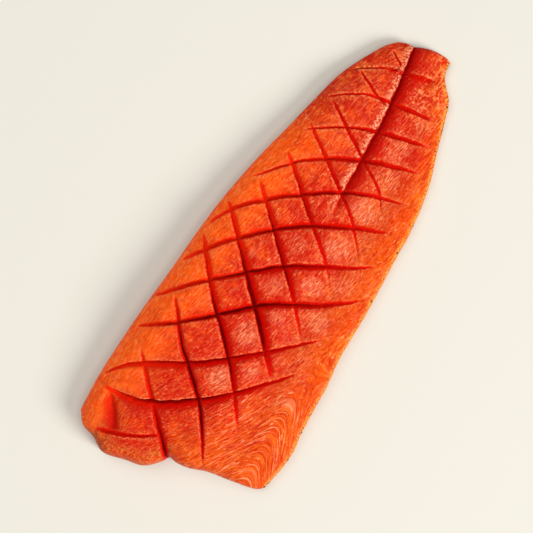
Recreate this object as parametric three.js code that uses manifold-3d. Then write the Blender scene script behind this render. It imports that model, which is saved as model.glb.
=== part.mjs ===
import * as THREE from "three";
import { mergeGeometries, mergeVertices } from "three/addons/utils/BufferGeometryUtils.js";
import Module from "manifold-3d";

// A whole side of smoked salmon, scored in diamonds and lying skin down. Millimetres, +Z up.
// +Y runs along the fillet to the tail and +X across it to the belly edge. The origin is
// under the middle of the fillet, on the face of the skin that it rests on.

const skinThickness = 1.2;
const clearance = 0.3;
const fleshBase = skinThickness + clearance;
const rimHeight = 4;
const nominalWidth = 150;
const nominalLength = 400;
const columns = 24;
const rows = 50;
const edgeCrowding = 0.84;

// The four edges, each drawn the way +X or +Y goes. `rounding` is how far in from the edge
// the top is still rounding over, and `tuck` how far the foot of the flesh is set back under
// it. The skin ends at the foot, but along the belly it comes out past the flesh by
// `skinShows`, as a pale rim.
const edges = {
  cutEnd: {
    rounding: 9,
    tuck: 3,
    skinShows: 0,
    points: [
      [-81, -188], [-73, -197], [-61, -200.6], [-48.5, -207.2], [-29, -202.8], [-14, -198.8],
      [-3.6, -188.6], [0.6, -182.6], [5.4, -183.2], [17, -181.6], [31, -176.4], [52, -172.4],
      [73, -167.2], [79.2, -161.2],
    ],
  },
  tail: {
    rounding: 6,
    tuck: 2,
    skinShows: 0,
    points: [
      [-21.4, 197], [-14, 200.3], [-9, 200.7], [-4.5, 203], [3.3, 205.8], [12, 207.1],
      [19.6, 206.6], [24, 204.6],
    ],
  },
  loin: {
    rounding: 27,
    tuck: 4,
    skinShows: 0,
    points: [
      [-81, -188], [-83.2, -160], [-82.8, -120], [-81.6, -90], [-79.2, -55], [-76.8, -10],
      [-74, 19], [-66.8, 63], [-60.4, 91.5], [-54.4, 120.5], [-47.6, 149.5], [-42, 163.4],
      [-28.3, 189.5], [-21.4, 197],
    ],
  },
  belly: {
    rounding: 13,
    tuck: 1.5,
    skinShows: 1.6,
    points: [
      [79.2, -161.2], [83, -132], [80, -105], [78, -68], [75, -46], [73.8, 0], [70.8, 44],
      [68.8, 77], [62, 113.5], [52.9, 140], [44, 167], [39.6, 178.4], [27.8, 190.8], [24.6, 198],
      [24, 204.6],
    ],
  },
};

// How thick the flesh is along the fillet and, as a share of that, across it from the loin
// edge at 0 to the belly edge at 1.
const thicknessAlong = [
  [-207, 24], [-165, 28], [-95, 31], [-20, 29.5], [60, 25], [125, 19.5], [175, 14], [207, 10],
];
const shareAcross = [[0, 0.9], [0.3, 1], [0.55, 0.94], [0.8, 0.7], [1, 0.46]];
const swell = 0.7;
const swellAcross = 21;
const swellAlong = 33;

// The knife strokes, each drawn from the loin side to the belly side. `walls` is how far the
// walls on the left and the right of the stroke lean out at the surface, and `fade` the share
// of the stroke over which the cut runs out at its start and its end.
const slantingUp = [
  { path: [[-64, -193], [-37, -183], [-16, -170]], depth: 5, walls: [2.4, 2.4] },
  { path: [[-76, -160], [-40, -151], [5, -119], [58, -63]], depth: 8, walls: [1, 5.5] },
  { path: [[-82, -156], [-67, -134], [-21, -103], [28, -61], [62, -29]], depth: 8, walls: [1, 5] },
  { path: [[-79, -108], [-44, -81], [0, -38], [38, -15], [72, 12]], depth: 8.5, walls: [3.6, 2.2] },
  { path: [[-81, -82], [-47, -45], [-4, -4], [35, 19], [66, 38]], depth: 7.5, walls: [2.8, 2.4] },
  { path: [[-77, -46], [-50, -10], [-12, 27], [27, 50], [62, 66]], depth: 7, walls: [3.2, 1.8] },
  { path: [[-74, -10], [-58, 17], [-16, 55], [18, 76], [61, 91]], depth: 6.5, walls: [2.8, 1.8] },
  { path: [[-64, 41], [-33, 76], [5, 100], [56, 118]], depth: 5.5, walls: [2, 1.8] },
  { path: [[-50, 95], [-19, 116], [9, 128], [48, 138]], depth: 5, walls: [2, 1.6] },
  { path: [[-49, 127], [-21, 146], [8, 153], [40, 158]], depth: 4.5, walls: [2, 1.6] },
  { path: [[-41, 158], [-19, 173], [9, 182], [28, 188]], depth: 3.6, walls: [2.6, 1.4] },
];
const slantingDown = [
  { path: [[-70, -113], [-47, -138], [-19, -166], [2, -187]], depth: 7, walls: [2.4, 2.4], fade: [0.35, 0] },
  { path: [[-65, -68], [-41, -97], [-4, -131], [29, -176]], depth: 9, walls: [2.4, 2.4] },
  { path: [[-74, -14], [-43, -51], [4, -97], [42, -144]], depth: 9, walls: [5.4, 1] },
  { path: [[-71, 19], [-37, -15], [1, -52], [39, -90]], depth: 9.5, walls: [6, 1.2] },
  { path: [[-58, 45], [-16, 6], [18, -25], [53, -62]], depth: 7.5, walls: [4.6, 1] },
  { path: [[-51, 76], [-5, 37], [27, 11], [48, -15]], depth: 6.5, walls: [3.6, 2] },
  { path: [[-49, 105], [-12, 79], [23, 54], [57, 16]], depth: 5.5, walls: [3, 2] },
  { path: [[-44, 130], [5, 100], [27, 87], [47, 63]], depth: 5, walls: [2.6, 2] },
  { path: [[-35, 161], [-12, 150], [1, 146]], depth: 4, walls: [2, 2] },
  { path: [[-21, 189], [-7, 179]], depth: 3, walls: [1.6, 1.6] },
];
// The seam from the tail's end to the middle, open towards the belly and steep on the loin side.
const seam = {
  path: [[-8.6, 204], [-5, 181], [1, 140], [4, 89], [7, 44]],
  depth: 6.4,
  walls: [10, 1.4],
  fade: [0, 0.5],
};
const usualFade = [0.16, 0.2];
const bladeStep = 16;
const bladeLift = 3;

const wasm = await Module();
wasm.setup();

const edgeSteps = 80;
const edgeCurves = Object.values(edges).map((edge) => {
  const curve = smoothCurve(edge.points);
  return { ...edge, curve, line: curve.getSpacedPoints(edgeSteps) };
});
const [cutEnd, tail, loin, belly] = edgeCurves;

function smoothCurve(points) {
  const places = points.map(([x, y]) => new THREE.Vector3(x, y, 0));
  return new THREE.CatmullRomCurve3(places, false, "centripetal");
}

const clamp01 = (value) => Math.min(1, Math.max(0, value));
const dome = (share) => Math.sqrt(1 - (1 - clamp01(share)) ** 2);

function profile(knots, at) {
  const next = knots.findIndex(([where]) => where >= at);
  if (next <= 0) return knots.at(next)[1];
  const [[from, low], [to, high]] = knots.slice(next - 1, next + 1);
  return THREE.MathUtils.lerp(low, high, THREE.MathUtils.smoothstep(at, from, to));
}

function distanceTo(line, x, y) {
  const here = new THREE.Vector3(x, y, 0);
  const nearest = new THREE.Vector3();
  const segment = new THREE.Line3();
  let best = Infinity;
  for (let i = 1; i < line.length; i += 1) {
    segment.set(line[i - 1], line[i]).closestPointToPoint(here, true, nearest);
    best = Math.min(best, nearest.distanceTo(here));
  }
  return best;
}

function topHeight(x, y) {
  const distances = edgeCurves.map((edge) => distanceTo(edge.line, x, y));
  const [, , fromLoin, fromBelly] = distances;
  const across = fromLoin / (fromLoin + fromBelly);
  const unevenness = swell * Math.sin(x / swellAcross + 1) * Math.sin(y / swellAlong);
  const thickness = profile(thicknessAlong, y) * profile(shareAcross, across) + unevenness;
  const rise = edgeCurves.reduce(
    (share, edge, i) => share * dome((distances[i] - edge.skinShows) / edge.rounding), 1,
  );
  return fleshBase + rimHeight + (thickness - rimHeight) * rise;
}

// A Coons patch: blends the four edges into a place inside them.
function placeInside(u, v) {
  const low = cutEnd.curve.getPointAt(u);
  const high = tail.curve.getPointAt(u);
  const left = loin.curve.getPointAt(v);
  const right = belly.curve.getPointAt(v);
  const corners = new THREE.Vector3()
    .addScaledVector(cutEnd.line[0], (1 - u) * (1 - v))
    .addScaledVector(cutEnd.line.at(-1), u * (1 - v))
    .addScaledVector(tail.line[0], (1 - u) * v)
    .addScaledVector(tail.line.at(-1), u * v);
  return low.multiplyScalar(1 - v).addScaledVector(high, v)
    .addScaledVector(left, 1 - u).addScaledVector(right, u).sub(corners);
}

// The shares of the patch that stop short of its four edges by an inset from each.
function withinInsets(inset, across, along) {
  const { lerp } = THREE.MathUtils;
  const u = lerp(inset(loin) / nominalWidth, 1 - inset(belly) / nominalWidth, across);
  const v = lerp(inset(cutEnd) / nominalLength, 1 - inset(tail) / nominalLength, along);
  return placeInside(u, v);
}

const atRim = (edge) => edge.skinShows;
const atFoot = (edge) => edge.skinShows + edge.tuck;
const atSkinEdge = (edge) => (edge.skinShows ? 0 : edge.tuck);

const crowd = (share) => clamp01(share - (edgeCrowding * Math.sin(2 * Math.PI * share)) / (2 * Math.PI));

// Moves the vertices of a three.js geometry, which keeps nothing but them and its triangles.
function reshape(geometry, move) {
  const bare = geometry.deleteAttribute("normal").deleteAttribute("uv");
  const position = bare.getAttribute("position");
  const vertex = new THREE.Vector3();
  for (let i = 0; i < position.count; i += 1) {
    vertex.fromBufferAttribute(position, i);
    move(vertex);
    position.setXYZ(i, vertex.x, vertex.y, vertex.z);
  }
  return bare;
}

// The places round a ring inside the edges, counterclockwise from the loin's end at the cut.
function ringPlaces(inset) {
  const upTo = (count) => Array.from({ length: count }, (_, i) => crowd(i / count));
  const downFrom = (count) => Array.from({ length: count }, (_, i) => crowd((count - i) / count));
  return [
    ...upTo(columns).map((across) => withinInsets(inset, across, 0)),
    ...upTo(rows).map((along) => withinInsets(inset, 1, along)),
    ...downFrom(columns).map((across) => withinInsets(inset, across, 1)),
    ...downFrom(rows).map((along) => withinInsets(inset, 0, along)),
  ];
}

const asShape = (ring) => new THREE.Shape(ring.map(({ x, y }) => new THREE.Vector2(x, y)));

function fleshGeometry() {
  const top = reshape(new THREE.PlaneGeometry(columns, rows, columns, rows), (vertex) => {
    const share = (from, count) => crowd(Math.round(from + count / 2) / count);
    vertex.copy(withinInsets(atRim, share(vertex.x, columns), share(vertex.y, rows)));
    vertex.z = topHeight(vertex.x, vertex.y);
  });
  const rim = ringPlaces(atRim);
  for (const place of rim) place.z = topHeight(place.x, place.y);
  const foot = ringPlaces(atFoot);
  const side = reshape(new THREE.PlaneGeometry(1, 1, rim.length, 1), (vertex) => {
    const ring = vertex.y > 0 ? rim : foot;
    const { x, y, z } = ring[Math.round((vertex.x + 0.5) * rim.length) % rim.length];
    vertex.set(x, y, vertex.y > 0 ? z : fleshBase);
  });
  const bottom = reshape(new THREE.ShapeGeometry(asShape(foot)), (vertex) => vertex.setZ(fleshBase));
  bottom.index.array.reverse();
  return mergeVertices(mergeGeometries([top, side, bottom]));
}

// A three-sided bar bent along the stroke, with its keel down in the cut and its two lips
// lifted clear of the surface.
function bladeGeometry({ path, depth, walls, fade = usualFade }) {
  const curve = smoothCurve(path);
  const steps = Math.ceil(curve.getLength() / bladeStep);
  const flare = (depth + bladeLift) / depth;
  const [leftLip, rightLip] = [walls[0] * flare, -walls[1] * flare];
  const fadeIn = (share, over) => (over ? Math.sin((Math.PI / 2) * clamp01(share / over)) : 1);
  return mergeVertices(reshape(new THREE.CylinderGeometry(1, 1, 1, 3, steps), (vertex) => {
    const share = clamp01(vertex.y + 0.5);
    const atKeel = vertex.z > 0.9;
    const atCapCentre = Math.abs(vertex.x) + Math.abs(vertex.z) < 0.1;
    const lip = vertex.x > 0 ? leftLip : rightLip;
    const along = curve.getTangentAt(share);
    vertex.copy(curve.getPointAt(share));
    const surface = topHeight(vertex.x, vertex.y);
    const sink = (depth + clearance) * fadeIn(share, fade[0]) * fadeIn(1 - share, fade[1]) - clearance;
    if (atKeel) return vertex.setZ(surface - sink);
    const reach = atCapCentre ? (leftLip + rightLip) / 3 : lip;
    const lift = atCapCentre ? (2 * bladeLift - sink) / 3 : bladeLift;
    return vertex.set(vertex.x - along.y * reach, vertex.y + along.x * reach, surface + lift);
  }));
}

function solid(geometry) {
  const vertProperties = new Float32Array(geometry.getAttribute("position").array);
  const triVerts = new Uint32Array(geometry.index.array);
  return new wasm.Manifold(new wasm.Mesh({ numProp: 3, vertProperties, triVerts }));
}

function asGeometry(body) {
  const { vertProperties, triVerts } = body.getMesh();
  const geometry = new THREE.BufferGeometry();
  geometry.setAttribute("position", new THREE.BufferAttribute(vertProperties, 3));
  geometry.setIndex(new THREE.BufferAttribute(triVerts, 1));
  return geometry;
}

function makeFillet() {
  const blades = [...slantingUp, ...slantingDown, seam].map(bladeGeometry);
  const scored = blades.reduce((body, blade) => body.subtract(solid(blade)), solid(fleshGeometry()));
  const material = new THREE.MeshStandardMaterial({ color: "#e24a22", roughness: 0.32, metalness: 0 });
  const mesh = new THREE.Mesh(asGeometry(scored), material);
  mesh.name = "fillet";
  return mesh;
}

function makeSkin() {
  const outline = asShape(ringPlaces(atSkinEdge));
  const sheet = new THREE.ExtrudeGeometry(outline, { depth: skinThickness, bevelEnabled: false });
  const material = new THREE.MeshStandardMaterial({ color: "#c9bfa8", roughness: 0.4, metalness: 0 });
  const mesh = new THREE.Mesh(mergeVertices(reshape(sheet, () => {})), material);
  mesh.name = "skin";
  return mesh;
}

const salmonSide = new THREE.Group();
salmonSide.add(makeFillet(), makeSkin());

export default salmonSide;
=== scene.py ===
import math

import bmesh
import bpy
import numpy as np
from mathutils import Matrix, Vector, noise


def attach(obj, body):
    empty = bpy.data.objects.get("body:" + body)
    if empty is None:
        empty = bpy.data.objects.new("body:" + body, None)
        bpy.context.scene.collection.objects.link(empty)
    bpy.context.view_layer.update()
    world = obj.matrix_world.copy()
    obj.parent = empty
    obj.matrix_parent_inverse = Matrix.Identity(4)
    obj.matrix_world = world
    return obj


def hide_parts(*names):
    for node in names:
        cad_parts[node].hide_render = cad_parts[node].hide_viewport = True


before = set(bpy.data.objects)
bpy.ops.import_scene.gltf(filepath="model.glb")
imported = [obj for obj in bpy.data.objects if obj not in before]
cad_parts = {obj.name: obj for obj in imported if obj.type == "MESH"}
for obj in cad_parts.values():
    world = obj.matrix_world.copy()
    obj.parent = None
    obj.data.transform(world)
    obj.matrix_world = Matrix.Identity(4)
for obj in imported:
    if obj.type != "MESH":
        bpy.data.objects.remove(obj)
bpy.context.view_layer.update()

# A scored side of smoked salmon, skin down on a plain floor. Shapes are worked out in millimetres
# in the row's frame, +Y to the tail and +X to the belly, and turned to metres when a mesh is made.
mm = 0.001
spanSteps = 24              # steps in a smooth line between two of its points
placesAtOnce = 8000         # places held against a line in one go, to save memory
tiny = 1e-6                 # keeps a fade of no length from dividing by nothing


def linear(hexText):
    channels = [int(hexText[i:i + 2], 16) / 255 for i in (1, 3, 5)]
    return tuple(c / 12.92 if c <= 0.04045 else ((c + 0.055) / 1.055) ** 2.4 for c in channels) + (1,)


def perMetre(size):
    return 1 / (size * mm)      # a pattern's scale on coordinates in metres, from its size in millimetres


def addNode(tree, kind, inputs=(), output=0, **settings):
    # Adds a node with its settings and links, and gives back the output that is used next. Inputs go
    # by their names or numbers, or are listed in the node's own order.
    node = tree.nodes.new(kind)
    for name, value in settings.items():
        setattr(node, name, value)
    for key, value in inputs.items() if isinstance(inputs, dict) else enumerate(inputs):
        if isinstance(value, bpy.types.NodeSocket):
            tree.links.new(value, node.inputs[key])
        else:
            node.inputs[key].default_value = value
    return node.outputs[output]


def newMaterial(name, settings):
    material = bpy.data.materials.new(name)
    material.use_nodes = True
    surface = material.node_tree.nodes["Principled BSDF"]
    for key, value in settings.items():
        surface.inputs[key].default_value = value
    return material, material.node_tree, surface


def newObject(name, mesh):
    data = bpy.data.meshes.new(name)
    mesh.to_mesh(data)
    mesh.free()
    thing = bpy.data.objects.new(name, data)
    bpy.context.scene.collection.objects.link(thing)
    return thing


def clamp01(values):
    return np.clip(values, 0, 1)


def smoothStep(values, low, high):
    share = clamp01((values - low) / (high - low))
    return share * share * (3 - 2 * share)


def alongList(values, share):
    return np.interp(share, np.linspace(0, 1, len(values)), values)


def profile(knots, at):
    places, values = np.array(knots, float).T
    slot = np.clip(np.searchsorted(places, at) - 1, 0, len(places) - 2)
    return values[slot] + (values[slot + 1] - values[slot]) * smoothStep(at, places[slot], places[slot + 1])


def smoothLine(points, steps):
    # A centripetal Catmull-Rom curve through the points, cut into even steps.
    known = np.array(points, float)
    known = np.vstack([2 * known[0] - known[1], known, 2 * known[-1] - known[-2]])
    share = np.linspace(0, 1, spanSteps, endpoint=False)[:, None]
    pieces = []
    for before, start, end, after in zip(known, known[1:], known[2:], known[3:]):
        spans = (before, start), (start, end), (end, after)
        first, middle, last = [math.sqrt(math.dist(a, b)) for a, b in spans]
        leave = (start - before) / first - (end - before) / (first + middle) + (end - start) / middle
        arrive = (end - start) / middle - (after - start) / (middle + last) + (after - end) / last
        leave, arrive = leave * middle, arrive * middle
        bend = 2 * start - 2 * end + leave + arrive
        pull = 3 * end - 3 * start - 2 * leave - arrive
        pieces.append(start + leave * share + pull * share ** 2 + bend * share ** 3)
    line = np.vstack(pieces + [known[-2:-1]])
    run = np.concatenate([[0], np.cumsum(np.linalg.norm(np.diff(line, axis=0), axis=1))])
    even = np.linspace(0, run[-1], steps + 1)
    return np.column_stack([np.interp(even, run, line[:, axis]) for axis in (0, 1)])


def againstLine(line, x, y):
    # Each place's nearest point on a line, as a share of it, and its distance, which is plus on the left.
    starts, spans = line[:-1], np.diff(line, axis=0)
    share, offset = np.empty_like(x), np.empty_like(x)
    for part in np.array_split(np.arange(len(x)), max(1, len(x) // placesAtOnce)):
        toX, toY = x[part, None] - starts[:, 0], y[part, None] - starts[:, 1]
        within = clamp01((toX * spans[:, 0] + toY * spans[:, 1]) / (spans ** 2).sum(1))
        away = np.hypot(toX - within * spans[:, 0], toY - within * spans[:, 1])
        nearest = away.argmin(1)
        rows = np.arange(len(part))
        side = spans[nearest, 0] * toY[rows, nearest] - spans[nearest, 1] * toX[rows, nearest]
        share[part] = (nearest + within[rows, nearest]) / len(spans)
        offset[part] = np.where(side > 0, 1, -1) * away[rows, nearest]
    return share, offset


def noiseAt(across, along, x, y, seed):
    # Smooth noise from -1 to 1, with lumps of the given size in millimetres.
    places = zip((x / across).tolist(), (y / along).tolist(), np.broadcast_to(seed, x.shape).tolist())
    return np.array([noise.noise(place) for place in places])


# Each noise over the flesh has a seed of its own, so that no two are alike.
noiseSeeds = {
    "wanderX": 21.3, "wanderY": 54.9, "frayX": 2.9, "frayY": 8.4, "serration": 6.6, "lumps": 3.1,
    "fibres": 7.7, "ridges": 1.5, "seamLip": 11.3, "cutFace": 4.2, "blocks": 5,
}


# The fillet's form is the CAD solid's. Thickness is given along the fillet and, as a share of that,
# across it from the loin edge at 0 to the belly edge at 1.
filletForm = {
    "skinThickness": 1.2,
    "clearance": 0.3,
    "rimHeight": 4,
    "nominalWidth": 150,
    "nominalLength": 400,
    "thicknessAlong": [
        (-207, 24), (-165, 28), (-95, 31), (-20, 29.5), (60, 25), (125, 19.5), (175, 14), (207, 10),
    ],
    "shareAcross": [(0, 0.9), (0.3, 1), (0.55, 0.94), (0.8, 0.7), (1, 0.46)],
    "swell": 0.7,
    "swellAcross": 21,
    "swellAlong": 33,
    "swellPhase": 1,
    "edgeSteps": 160,
}
# Each edge: how far in the top rounds over, how far the foot is set back under it, how far the skin
# shows past the flesh, and the points it runs through.
filletEdges = {
    "cutEnd": {
        "rounding": 9, "tuck": 3, "skinShows": 0,
        "points": [
            (-81, -188), (-73, -197), (-61, -200.6), (-48.5, -207), (-29, -202.8), (-14, -198.8),
            (-3.6, -188.6), (0.6, -182.6), (5.4, -183.2), (17, -181.6), (31, -176.4), (52, -172.4),
            (73, -167.2), (79.2, -161.2),
        ],
    },
    "tail": {
        "rounding": 6, "tuck": 2, "skinShows": 0,
        "points": [
            (-21.4, 197), (-14, 200.3), (-9, 200.7), (-4.5, 203), (3.3, 205.8), (12, 207),
            (19.6, 206.6), (24, 204.6),
        ],
    },
    "loin": {
        "rounding": 27, "tuck": 4, "skinShows": 0,
        "points": [
            (-81, -188), (-83.1, -160), (-82.8, -120), (-81.6, -90), (-79.2, -55), (-76.8, -10),
            (-74, 19), (-66.8, 63), (-60.4, 91.5), (-54.4, 120.5), (-47.6, 149.5), (-42, 163.4),
            (-28.3, 189.5), (-21.4, 197),
        ],
    },
    "belly": {
        "rounding": 13, "tuck": 1.5, "skinShows": 1.6,
        "points": [
            (79.2, -161.2), (83, -132), (80, -105), (78, -68), (75, -46), (73.8, 0), (70.8, 44),
            (68.8, 77), (62, 113.5), (52.9, 140), (44, 167), (39.6, 178.4), (27.8, 190.8), (24.6, 198),
            (24, 204.6),
        ],
    },
}
for edge in filletEdges.values():
    edge["line"] = smoothLine(edge["points"], filletForm["edgeSteps"])


def onEdge(name, share):
    line = filletEdges[name]["line"]
    return np.column_stack([alongList(line[:, axis], share) for axis in (0, 1)])


def placeInside(u, v):
    # A Coons patch: blends the four edges into a place inside them.
    u, v = u[:, None], v[:, None]
    ends = {name: edge["line"][[0, -1]] for name, edge in filletEdges.items()}
    sides = onEdge("cutEnd", u[:, 0]) * (1 - v) + onEdge("tail", u[:, 0]) * v
    sides += onEdge("loin", v[:, 0]) * (1 - u) + onEdge("belly", v[:, 0]) * u
    corners = (ends["cutEnd"][0] * (1 - u) + ends["cutEnd"][1] * u) * (1 - v)
    corners += (ends["tail"][0] * (1 - u) + ends["tail"][1] * u) * v
    return (sides - corners).T


def withinInsets(inset, across, along):
    # The shares of the patch that stop short of its four edges by an inset from each.
    low, high, start, end = [inset(filletEdges[name]) for name in ("loin", "belly", "cutEnd", "tail")]
    width, length = filletForm["nominalWidth"], filletForm["nominalLength"]
    u = low / width + (1 - (low + high) / width) * across
    v = start / length + (1 - (start + end) / length) * along
    return placeInside(u, v)


def crowd(share, crowding):
    return clamp01(share - crowding * np.sin(2 * np.pi * share) / (2 * np.pi))


def bareTop(x, y):
    # The top before it is scored: its height, and each place's distance from every edge.
    form = filletForm
    away = {name: np.abs(againstLine(edge["line"], x, y)[1]) for name, edge in filletEdges.items()}
    across = away["loin"] / (away["loin"] + away["belly"])
    uneven = np.sin(x / form["swellAcross"] + form["swellPhase"]) * np.sin(y / form["swellAlong"])
    thickness = profile(form["thicknessAlong"], y) * profile(form["shareAcross"], across)
    thickness += form["swell"] * uneven
    rise = np.ones_like(x)
    for name, edge in filletEdges.items():
        share = clamp01((away[name] - edge["skinShows"]) / edge["rounding"])
        rise *= np.sqrt(1 - (1 - share) ** 2)
    base = form["skinThickness"] + form["clearance"] + form["rimHeight"]
    return base + (thickness - form["rimHeight"]) * rise, away


# The knife strokes, drawn from the loin side to the belly side. Depths, and how far the left and the
# right wall lean out at the surface, are given at even shares of each stroke. Some have a fade of
# their own, walls that are more hollow, or a weaker red stain.
knifeStrokes = [
    {"path": [(-66, -193), (-52, -189), (-37, -183), (-16, -170)], "fade": (0.3, 0.12),
     "depth": [3, 4.5, 4.5, 4], "left": [2.6, 2.8, 2, 2], "right": [1.6, 1]},
    {"path": [(-76, -160), (-40, -151), (5, -119), (58, -63)],
     "depth": [7, 9, 8, 6, 3], "left": [0.8], "right": [3, 7.5, 6.5, 3, 1.4]},
    {"path": [(-82, -156), (-67, -134), (-21, -103), (28, -61), (62, -29)],
     "depth": [3, 7.5, 8, 6, 3], "left": [0.8], "right": [1.2, 4.6, 5.4, 3, 1.4]},
    {"path": [(-79, -108), (-44, -81), (0, -38), (38, -15), (72, 12)],
     "depth": [7, 9, 10, 7, 4], "left": [2.4, 3.6, 3.4, 3, 1.4], "right": [0.8, 0.8, 3.6, 2.4, 1]},
    {"path": [(-81, -82), (-47, -45), (-4, -4), (35, 19), (66, 38)],
     "depth": [5, 8, 9, 7, 4], "left": [2.2, 3.2, 1.8, 1.8, 1.2], "right": [0.8, 0.8, 4.4, 3.2, 1.2]},
    {"path": [(-77, -46), (-50, -10), (-12, 27), (27, 50), (62, 66)],
     "depth": [5, 7.5, 8, 7, 4], "left": [2.2, 3.2, 3.4, 3.4, 1.8], "right": [0.8, 1.2, 2, 2, 1]},
    {"path": [(-74, -10), (-58, 17), (-16, 55), (18, 76), (61, 91)],
     "depth": [4, 6.5, 7, 6.5, 4], "left": [2, 3, 3, 2.6, 1.4], "right": [0.8, 1, 1.4, 1.4, 1]},
    {"path": [(-64, 41), (-33, 76), (5, 100), (56, 118)],
     "depth": [4, 5.5, 6.5, 6, 3.5], "left": [1.2, 1.8, 2.2, 2.4, 1.4], "right": [0.8, 0.8, 2.4, 2.2, 1]},
    {"path": [(-50, 95), (-19, 116), (9, 128), (48, 138)],
     "depth": [3.5, 5, 6, 4.5], "left": [1, 1.4, 2.2, 1.6], "right": [0.8, 0.8, 2.4, 1.6]},
    {"path": [(-49, 127), (-21, 146), (8, 153), (40, 158)],
     "depth": [3, 4, 5.5, 4], "left": [0.9, 1.1, 2.2, 1.6], "right": [0.8, 0.8, 2.2, 1.6]},
    {"path": [(-41, 158), (-19, 173), (9, 182), (28, 188)], "hollow": 0.5, "stain": 0.6,
     "depth": [2, 2.5, 4.5, 3], "left": [0.9, 1, 1.4, 1.2], "right": [1, 1.4, 7, 5]},
    {"path": [(-70, -113), (-47, -138), (-19, -166), (2, -187)], "fade": (0.3, 0),
     "depth": [2, 4, 7, 10], "left": [1.4, 2.4, 3.2, 4], "right": [1.2, 2, 2, 2.4]},
    {"path": [(-65, -68), (-41, -97), (-4, -131), (29, -176)],
     "depth": [6, 9, 10, 9, 5], "left": [1.6, 2.6, 3, 2.4, 0.9], "right": [1.4, 2.2, 2.4, 1.6, 0.7]},
    {"path": [(-74, -14), (-43, -51), (4, -97), (42, -144)], "fade": (0.16, 0.45),
     "depth": [5, 8, 10, 7, 2], "left": [2.4, 4.6, 6.4, 3.8, 1.4], "right": [0.8]},
    {"path": [(-71, 19), (-37, -15), (1, -52), (39, -90)],
     "depth": [5, 8, 10, 10, 4], "left": [2.4, 4.6, 7.4, 7.6, 2], "right": [0.8, 0.9, 1.2, 1.2, 0.8]},
    {"path": [(-58, 45), (-16, 6), (18, -25), (53, -62)],
     "depth": [5, 7.5, 8, 2.4, 1.4], "left": [2.4, 4.2, 4.8, 2.4, 1.6], "right": [0.8]},
    {"path": [(-51, 76), (-5, 37), (27, 11), (48, -15)],
     "depth": [5, 7, 5, 1.8, 1.2], "left": [2.2, 3.6, 3, 2.2, 1.6], "right": [0.8]},
    {"path": [(-49, 105), (-12, 79), (23, 54), (57, 16)],
     "depth": [4.5, 5.5, 4.5, 2, 1.4], "left": [1.8, 3, 2.6, 2, 1.4], "right": [0.8]},
    {"path": [(-44, 130), (5, 100), (27, 87), (47, 63)],
     "depth": [4, 5, 3, 1.8], "left": [1.6, 2.6, 1.8, 1.4], "right": [0.8]},
    {"path": [(-35, 161), (-12, 150), (1, 146)],
     "depth": [3, 4, 3.5], "left": [1.4, 2, 1.6], "right": [0.8]},
    {"path": [(-21, 189), (-7, 179)],
     "depth": [2, 2.5], "left": [1.2, 1.4], "right": [0.8]},
    # The seam from the tail's end to the middle: steep on the loin side, open towards the belly.
    {"path": [(-8.6, 204), (-5, 181), (1, 140), (4, 89), (7, 44)], "fade": (0, 0.3), "seam": True,
     "hollow": 1.2, "stain": 0.52,
     "depth": [6, 7, 6.5, 5.5, 3], "left": [10, 14, 14, 11, 6], "right": [1.4]},
    # The short cut that parts the rounded corner at the cut end from the first block.
    {"path": [(-72, -160), (-64, -165), (-56, -174), (-48, -185)], "fade": (0.3, 0.1),
     "hollow": 0.3, "stain": 0.62,
     "depth": [1.5, 3, 3.8, 3.6], "left": [3, 4.6, 4.6, 3], "right": [3, 8, 9, 6]},
]
scoring = {
    "lineSteps": 48,
    "reach": 30,                # how far from a stroke its marks are worked out
    "fade": (0.16, 0.32),       # shares of a stroke over which it runs out at its two ends
    "fadedWidth": 0.35,         # the share of its width that it keeps where it has run out
    "snapReach": 0.5,           # how far a grid place moves onto a crease, in grid pitches
    "snapFade": 0.15,           # a stroke that has run out further than this moves none
    "crispWall": 1,             # a wall this wide stays a sharp cliff
    "gentleWall": 3.5,          # one this wide rounds over
    "roundOver": 0.5,           # how much softer the profile of a gentle wall is
    "spread": 0.25,             # and how much further out it starts
    "open": 0.8,                # the share of its depth that a cut stands open
    "settle": 1.4, "settleReach": 5,      # the flesh beside a gentle wall sinks
    "crispSettle": 0.35,        # and by this share of that beside a sharp one
    "lift": 0.15, "liftReach": 2.2,       # and a sharp lip stands up
    "wander": 0.7, "wanderSize": 10,      # a cut in soft flesh never runs true
    "fray": 0.4, "fraySize": 2.4,
    "darkest": 7,               # the depth from which a cut has its darkest painted shade
    "stainFrom": 0.3, "stainWide": 1.1,   # the red stain up a wall, in shares of the wall
    "stainLeast": 0.1,          # and this wide at least
    "stainDepths": (0.1, 2.8),  # the depths over which it comes in
    "soak": 3.4,                # how far the wet redness of a cut soaks in beside it
    "soakDepths": (1, 7),
    "lipFrom": 0.8,             # the share of a wall above which the painted highlight on its lip shows
    "lipWide": 0.8, "tailLipWider": 0.5, "tailLipZone": (60, 110),
    "blockReach": 11,           # how far a cut's effect on its blocks' tone reaches
    "blockLeast": 0.5, "blockStep": 0.618,          # each stroke changes the tone by its own share
}
# The seam: a frayed lip on the loin side with a painted highlight, and redness and painted shade on its
# open side.
seam = {
    "lip": 1.2, "lipGrain": 2.3, "lipFloor": 0.2,
    "lipReach": (2.08, 7.8),    # from the keel, where the lip starts to give way and where it ends
    "lipFrom": 0.3, "openFrom": 0.8,
    "shadeReach": 8.5,
    "soakReach": 20,
}
for stroke in knifeStrokes:
    stroke["line"] = smoothLine(stroke["path"], scoring["lineSteps"])


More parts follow.
